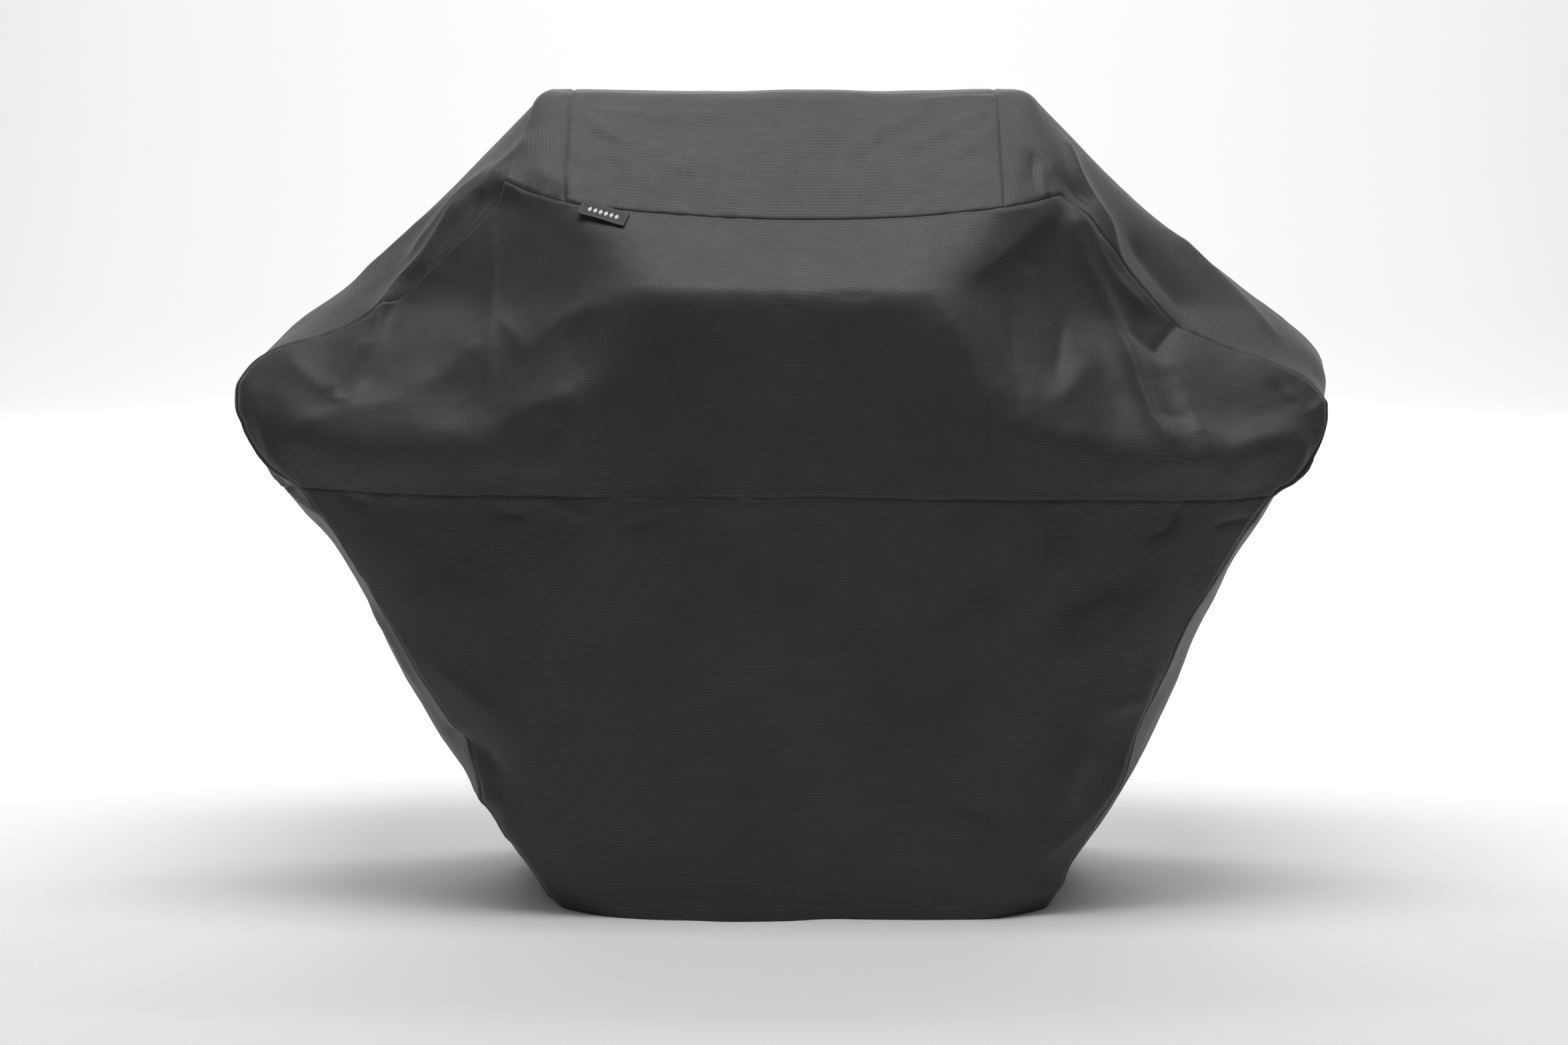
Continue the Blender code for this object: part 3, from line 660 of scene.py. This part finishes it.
def strip(name, body, node, side, span, lift, thickness, material, steps, edge):
    """A strip that follows the side skirt at strap height: a grid of steps along it by rows
    across, lifted off the skirt, with edges rolled down by edge * (2 v)^8."""
    net = nets[side]
    across = np.linspace(*span, steps)
    spread = np.linspace(-0.5, 0.5, STRIP_ROWS)
    low, high = (parameter_of(net[:, 2], STRAP_HEIGHT + half * STRAP_WIDTH / 2, 2)
                 for half in (-1, 1))
    levels = low + (high - low) * (spread + 0.5)
    here = surface(net, levels, across)
    upwards = surface(net, levels + 1e-4, across) - here
    backwards = surface(net, levels, across + 1e-4) - here
    out = np.cross(upwards, backwards) * -FACING[side]
    out /= np.linalg.norm(out, axis=-1, keepdims=True)
    top = here + out * (lift + thickness - edge * np.abs(2 * spread[:, None]) ** 8)[..., None]
    uv = np.stack([arc(top, 1), arc(top, 0)], -1).reshape(-1, 2)
    faces = grid_faces(STRIP_ROWS, steps, FACING[side] < 0)
    piece = new_piece(name, top.reshape(-1, 3), faces, material, uv)
    give_wall(piece, thickness - edge)
    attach(piece, body)
    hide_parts(node)


def build_straps(webbing, hooks, loops):
    """On each side a loop patch on the skirt, and a strap that carries a hook tape."""
    hook_lift = 2 * TAPE_GAP + TAPE_THICKNESS
    strap_lift = hook_lift + TAPE_THICKNESS + TAPE_GAP
    across = np.linspace(*STRAP_SPAN, WEBBING_STEPS)
    falling = np.interp(across, (TAPE_END, STRAP_SPAN[1]), (strap_lift, STRAP_LIFT))
    for side in ("left", "right"):
        strip(side + "_loop_pile", "cover", side + "_loop_patch", side, TAPE_SPAN, TAPE_GAP,
              TAPE_THICKNESS, loops, TAPE_STEPS, TAPE_EDGE)
        strip(side + "_hook_strip", side + "_strap", side + "_hook_tape", side, TAPE_SPAN,
              hook_lift, TAPE_THICKNESS, hooks, TAPE_STEPS, TAPE_EDGE)
        strip(side + "_webbing", side + "_strap", side + "_strap", side, STRAP_SPAN, falling,
              STRAP_THICKNESS, webbing, WEBBING_STEPS, WEBBING_EDGE)


# -------------------- stitching

STITCH_LENGTH, STITCH_PITCH, THREAD_RADIUS, STITCH_INSET = 0.0028, 0.0040, 0.00032, 0.0050
HEM_STITCH_HEIGHT = 0.018
THREAD_RINGS, RING_POINTS = 5, 6


def stitch_row(line, out):
    """Threads along a line on the cloth: one every pitch, each an arched tube of rings whose
    middle stands a radius proud and whose ends dip into the cloth."""
    gone = arc(line, 0)
    starts = np.arange(STITCH_PITCH / 2, gone[-1] - STITCH_PITCH, STITCH_PITCH)
    along = np.linspace(0, 1, THREAD_RINGS)
    where = starts[:, None] + along * STITCH_LENGTH
    middle, normal = (np.stack([np.interp(where, gone, field[:, axis]) for axis in range(3)], -1)
                      for field in (line, out))
    ahead = middle[:, -1:] - middle[:, :1]
    ahead /= np.linalg.norm(ahead, axis=-1, keepdims=True)
    aside = np.cross(normal, ahead)
    lift = THREAD_RADIUS * (1.7 * np.sin(np.pi * along) - 0.8)
    centre = middle + normal * lift[:, None]
    turn = np.linspace(0, 2 * np.pi, RING_POINTS, endpoint=False)[:, None]
    rings = (centre[:, :, None] + THREAD_RADIUS * (np.cos(turn) * aside[:, :, None]
                                                   + np.sin(turn) * normal[:, :, None]))
    return rings.reshape(-1, 3), len(starts)


def seam_lines(shapes):
    """The lines that the stitching follows, beside every seam and round the hem, each with the
    cloth's normals along it."""
    outs = patch_normals(shapes)
    lines = []

    def add_line(name, row, side, inset, turned=False):
        """A line an inset away from a grid row, found by moving along every column."""
        fields = [np.swapaxes(field[name], 0, 1) if turned else field[name]
                  for field in (shapes, outs)]
        gone = arc(fields[0], 0)
        gone = np.abs(gone - gone[row])
        order = np.arange(row % len(gone), len(gone) if side > 0 else -1, side)
        line, out = (np.array([[np.interp(inset, gone[order, column], field[order, column, axis])
                                for axis in range(3)] for column in range(gone.shape[1])])
                     for field in fields)
        lines.append((line, out / np.linalg.norm(out, axis=1, keepdims=True)))

    for name in ("front", "rear", "left", "right"):
        add_line(name, WAIST_ROW, 1, STITCH_INSET)
        add_line(name, 0, 1, HEM_STITCH_HEIGHT)
    for name in ("front", "rear"):
        add_line(name, -1, -1, STITCH_INSET)
    for name in ("left", "right"):
        add_line(name, 0, 1, STITCH_INSET, True)
        add_line(name, -1, -1, STITCH_INSET, True)
    add_line("top", FIRST_SEAM, -1, STITCH_INSET)
    add_line("top", LAST_SEAM, 1, STITCH_INSET)
    return lines


def build_stitching(shapes, thread):
    """All the stitching of the cover as one piece."""
    found, counts = zip(*(stitch_row(line, out) for line, out in seam_lines(shapes)))
    ring = np.arange(THREAD_RINGS) * RING_POINTS
    last = ring + RING_POINTS - 1
    closing = np.stack([last[:-1], ring[:-1], ring[1:], last[1:]], -1)
    one = np.concatenate([grid_faces(THREAD_RINGS, RING_POINTS, False), closing])
    starts = np.arange(sum(counts)) * THREAD_RINGS * RING_POINTS
    faces = (one[None] + starts[:, None, None]).reshape(-1, 4)
    piece = new_piece("stitching", np.concatenate(found), faces, thread)
    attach(piece, "cover")


# -------------------- materials

def math_node(operation):
    """A method that adds a Math node over its socket and any further values."""
    return lambda *values: values[0].shader.node("ShaderNodeMath", {"operation": operation},
                                                 dict(enumerate(values)))


class Socket:
    """A node output that adds Math nodes when it is used in an expression."""

    def __init__(self, shader, output):
        self.shader, self.output = shader, output

    __add__ = __radd__ = math_node("ADD")
    __sub__ = math_node("SUBTRACT")
    __mul__ = __rmul__ = math_node("MULTIPLY")
    __pow__ = math_node("POWER")
    cosine, size = math_node("COSINE"), math_node("ABSOLUTE")
    below, wrapped = math_node("LESS_THAN"), math_node("FLOORED_MODULO")
    at_least, at_most = math_node("MAXIMUM"), math_node("MINIMUM")


class Shader:
    """A material and its nodes."""

    def __init__(self, name):
        self.material = bpy.data.materials.new(name)
        self.material.use_nodes = True
        self.tree = self.material.node_tree
        self.surface = self.tree.nodes["Principled BSDF"]

    def node(self, kind, settings=None, inputs=None, output=0):
        """A node with its settings made first, then the values or links of its sockets."""
        made = self.tree.nodes.new(kind)
        for key, value in (settings or {}).items():
            setattr(made, key, value)
        self.connect(made, inputs or {})
        return Socket(self, made.outputs[output])

    def connect(self, target, inputs):
        """Link or set each named input of a node."""
        for key, value in inputs.items():
            socket = target.inputs[key]
            if isinstance(value, Socket):
                self.tree.links.new(value.output, socket)
            else:
                socket.default_value = value

    def finish(self, **inputs):
        """Set the surface's inputs, whose names are written with _ for a space."""
        self.connect(self.surface, {key.replace("_", " "): value for key, value in inputs.items()})
        return self.material

    def mix(self, amount, first, second, blend="MIX"):
        """Mix two colours."""
        made = self.tree.nodes.new("ShaderNodeMix")
        made.data_type, made.blend_type = "RGBA", blend
        self.connect(made, {0: amount, 6: first, 7: second})
        return Socket(self, made.outputs[2])

    def shaded(self, colour, light):
        """A colour times a light of about 1."""
        shade = self.node("ShaderNodeCombineColor", None, {0: light, 1: light, 2: light})
        return self.mix(1.0, colour, shade, "MULTIPLY")

    def noise(self, vector, scale, detail=2.0, rough=0.5):
        """Noise of about 0 to 1 over a vector."""
        return self.node("ShaderNodeTexNoise", None,
                         {"Vector": vector, "Scale": scale, "Detail": detail, "Roughness": rough})

    def bump(self, height, strength, distance):
        """A normal tilted by a height."""
        return self.node("ShaderNodeBump", None,
                         {"Height": height, "Strength": strength, "Distance": distance})

    def place(self):
        """Position on the object in metres."""
        return self.node("ShaderNodeTexCoord", None, None, "Object")

    def cloth(self):
        """Position on the cloth in metres, and its parts across and along."""
        uv = self.node("ShaderNodeUVMap", {"uv_map": "cloth"})
        parts = self.tree.nodes.new("ShaderNodeSeparateXYZ")
        self.connect(parts, {0: uv})
        return uv, Socket(self, parts.outputs[0]), Socket(self, parts.outputs[1])


RIPSTOP_PITCH = 0.0056
OUTER_COLOURS = ((0.0385, 0.0382, 0.0435, 1), (0.0250, 0.0240, 0.0270, 1))
INNER_COLOUR = (0.075, 0.075, 0.078, 1)
THREAD_COLOUR = (0.085, 0.085, 0.092, 1)
LABEL_GROUND, LABEL_PALE = (0.020, 0.020, 0.022, 1), (0.62, 0.62, 0.60, 1)
WEBBING_COLOUR = (0.026, 0.026, 0.028, 1)
TAPE_COLOUR = (0.018, 0.018, 0.019, 1)
TAPE_WHITES = ((0.80, 0.80, 0.77, 1), (0.66, 0.65, 0.61, 1))


def cloth_lines(coordinate, pitch, sharpness):
    """Lines a pitch apart: a cosine raised to a power, 1 on a line and 0 between lines."""
    return ((coordinate * (2 * math.pi / pitch)).cosine() * 0.5 + 0.5) ** sharpness


def cover_fabric():
    """Coated ripstop: a grid of heavier yarns, weft streaks, slow colour drift and a soft sheen."""
    shader = Shader("cover_fabric")
    uv, across_yarn, down_yarn = shader.cloth()
    place = shader.place()
    weft = cloth_lines(down_yarn, RIPSTOP_PITCH, 6)
    warp = cloth_lines(across_yarn, RIPSTOP_PITCH, 8)
    patchy = shader.noise(place, 5.5, 4, 0.55)
    mottled = shader.noise(place, 42, 2, 0.6)
    streak_at = shader.node("ShaderNodeMapping", None, {"Vector": uv, "Scale": (14, 420, 1)})
    streak = shader.noise(streak_at, 1.0, 2, 0.6)
    drift = (patchy * 2.4 - 0.7).at_least(0).at_most(1)
    light = (0.80 + weft * 0.30 + warp * 0.12 + (streak - 0.5) * 0.44
             + (mottled - 0.5) * 0.16)
    return shader.finish(
        Base_Color=shader.shaded(shader.mix(drift, OUTER_COLOURS[1], OUTER_COLOURS[0]), light),
        Roughness=0.62 + (mottled - 0.5) * 0.16 - weft * 0.06,
        Normal=shader.bump(weft * 0.5 + warp * 0.35 + streak * 0.6, 0.4, 0.0003),
        Specular_IOR_Level=0.40, Sheen_Weight=0.12, Sheen_Roughness=0.5)


def sewing_thread():
    """Bonded polyester thread, a shade paler than the cloth, with its fibres."""
    shader = Shader("sewing_thread")
    fibre = shader.noise(shader.place(), 900, 2, 0.6)
    return shader.finish(Base_Color=shader.shaded(THREAD_COLOUR, 0.8 + fibre * 0.4),
                         Roughness=0.55 + fibre * 0.15)


LABEL_BORDER = (0.0022, 0.0030)                # the border's two edges, in from the label's own
DIAMOND_START, DIAMOND_PITCH, DIAMOND_HALF = 0.011, 0.0080, 0.0030
DIAMOND_SLANT, DIAMOND_ROW_HALF = 0.62, 0.0240


def woven_label_face():
    """Dark satin label: a faint border, a row of pale diamonds, and fine weft ribs."""
    shader = Shader("woven_label_face")
    _, u, v = shader.cloth()
    width, length = LABEL_SIZE[:2]
    from_middle, from_centre = (u - width / 2).size(), (v - length / 2).size()
    edge, inner = (from_middle.below(width / 2 - inset) * from_centre.below(length / 2 - inset)
                   for inset in LABEL_BORDER)
    cell = (u - DIAMOND_START).wrapped(DIAMOND_PITCH) - DIAMOND_PITCH / 2
    diamond = (cell.size() + from_centre * DIAMOND_SLANT).below(DIAMOND_HALF)
    pale = (edge - inner) * 0.10 + diamond * from_middle.below(DIAMOND_ROW_HALF)
    rib = cloth_lines(v, 0.00055, 1)
    grain = shader.noise(shader.place(), 700, 2, 0.6)
    colour = shader.mix(pale, LABEL_GROUND, LABEL_PALE)
    return shader.finish(Base_Color=shader.shaded(colour, 0.82 + rib * 0.16 + grain * 0.16),
                         Roughness=0.55 + grain * 0.2, Sheen_Weight=0.1,
                         Normal=shader.bump(rib + pale * 0.8, 0.5, 0.0002))


def satin_tape():
    """White satin tape for the care label, with faint ribs and a little soiling."""
    shader = Shader("satin_tape")
    rib = cloth_lines(shader.cloth()[2], 0.0005, 1)
    soil = shader.noise(shader.place(), 45, 3, 0.6)
    return shader.finish(Base_Color=shader.mix(soil, *TAPE_WHITES),
                         Roughness=0.45 + soil * 0.15, Normal=shader.bump(rib, 0.3, 0.0001))


def polyester_webbing():
    """Black webbing: a herringbone of short diagonal yarns, crossed by cords."""
    shader = Shader("polyester_webbing")
    _, u, v = shader.cloth()
    zigzag = (v.wrapped(0.0062) - 0.0031).size()
    yarn = cloth_lines(u + zigzag, 0.0017, 1)
    cord = cloth_lines(v, 0.0011, 1)
    fuzz = shader.noise(shader.place(), 380, 3, 0.6)
    light = 0.62 + yarn * 0.34 + cord * 0.18 + fuzz * 0.3
    return shader.finish(Base_Color=shader.shaded(WEBBING_COLOUR, light),
                         Roughness=0.7 + fuzz * 0.15,
                         Normal=shader.bump(yarn + cord * 0.6, 0.8, 0.0004))


def hook_and_loop(name, scale, depth):
    """Black hook or loop tape: a field of small cells, coarse for hooks and finer for loops."""
    shader = Shader(name)
    place = shader.place()
    cells = shader.node("ShaderNodeTexVoronoi", None, {"Vector": place, "Scale": scale}, "Distance")
    fuzz = shader.noise(place, scale * 0.7, 3, 0.7)
    return shader.finish(Base_Color=shader.shaded(TAPE_COLOUR, 0.6 + cells * 0.7 + fuzz * 0.3),
                         Roughness=0.8 + fuzz * 0.15,
                         Normal=shader.bump(cells + fuzz, 0.9, depth))


def cover_lining():
    """The coated inside of the cloth: a dull grey film, slightly mottled."""
    shader = Shader("cover_lining")
    film = shader.noise(shader.place(), 60, 3, 0.6)
    return shader.finish(Base_Color=shader.shaded(INNER_COLOUR, 0.85 + film * 0.3),
                         Roughness=0.5 + film * 0.2, Normal=shader.bump(film, 0.2, 0.0005))


# -------------------- studio

# Area lights: place, the point each looks at, width and height, and power in watts.
LIGHTS = {
    "overhead": ((0, -0.8, 3.7), (0, 0, 0.6), (2.8, 1.2), 98),
    "left_side": ((-3.0, 1.5, 1.9), (0, 0, 0.6), (2.0, 2.2), 6),
    "right_side": ((3.0, 1.5, 1.9), (0, 0, 0.6), (2.0, 2.2), 6),
    "backdrop": ((0, 2.2, 4.8), (0, 6.6, 0.6), (8.0, 1.2), 480),
    "front_floor": ((0, -6.0, 5.0), (0, -9.5, 0), (10.0, 2.0), 420),
    "rear": ((0, 5.0, 3.2), (0, 0, 0.7), (4.0, 1.6), 40),
}
FLOOR_COLOUR, FLOOR_ROUGHNESS = (0.80, 0.80, 0.80, 1), 0.9
FLOOR_HALF, FLOOR_FRONT, FLOOR_BACK = 16, -14, 5.6
WALL_RADIUS, WALL_HEIGHT, WALL_STEPS = 2.4, 10, 24
WORLD_COLOUR = (0.07, 0.07, 0.0728, 1)
CAMERA_PLACE, CAMERA_TARGET = (0, -5.0, 1.35), (0, 0, 0.538)


def add_aimed(name, data, place, target):
    """An object at a place that looks at a target."""
    thing = bpy.data.objects.new(name, data)
    thing.location = place
    thing.rotation_euler = (Vector(target) - Vector(place)).to_track_quat("-Z", "Y").to_euler()
    bpy.context.collection.objects.link(thing)
    return thing


def sweep():
    """Points and faces of a floor that runs flat to the back, then curves up into a wall."""
    turn = np.linspace(0, math.pi / 2, WALL_STEPS)
    curve = np.stack([FLOOR_BACK + WALL_RADIUS * np.sin(turn), WALL_RADIUS * (1 - np.cos(turn))], 1)
    line = np.concatenate([[(FLOOR_FRONT, 0)], curve, [(FLOOR_BACK + WALL_RADIUS, WALL_HEIGHT)]])
    points = np.array([[(x, y, z) for x in (-FLOOR_HALF, FLOOR_HALF)] for y, z in line])
    return points.reshape(-1, 3), grid_faces(len(line), 2, False)


def studio():
    """A pale floor that curves up behind, and soft lights overhead, beside and behind."""
    colour = Shader("floor").finish(Base_Color=FLOOR_COLOUR, Roughness=FLOOR_ROUGHNESS)
    floor = new_piece("floor", *sweep(), colour)
    world = bpy.data.worlds.new("studio")
    world.use_nodes = True
    world.node_tree.nodes["Background"].inputs["Color"].default_value = WORLD_COLOUR
    bpy.context.scene.world = world
    for name, (place, target, size, power) in LIGHTS.items():
        light = bpy.data.lights.new(name, "AREA")
        light.shape, light.energy = "RECTANGLE", power
        light.size, light.size_y = size
        add_aimed(name, light, place, target)
    bpy.context.scene.view_settings.view_transform = "Standard"


def camera():
    """A long lens a little above the cover's top, aimed at its middle."""
    data = bpy.data.cameras.new("camera")
    data.sensor_width, data.lens = 36.0, 78.9
    bpy.context.scene.camera = add_aimed("camera", data, CAMERA_PLACE, CAMERA_TARGET)


camera()
studio()
shapes = draped()
build_panels(shapes, (cover_fabric(), cover_lining()))
build_labels(woven_label_face(), satin_tape())
build_straps(polyester_webbing(), hook_and_loop("hook_tape", 1400, 0.0006),
             hook_and_loop("loop_pile", 2200, 0.0004))
build_stitching(shapes, sewing_thread())
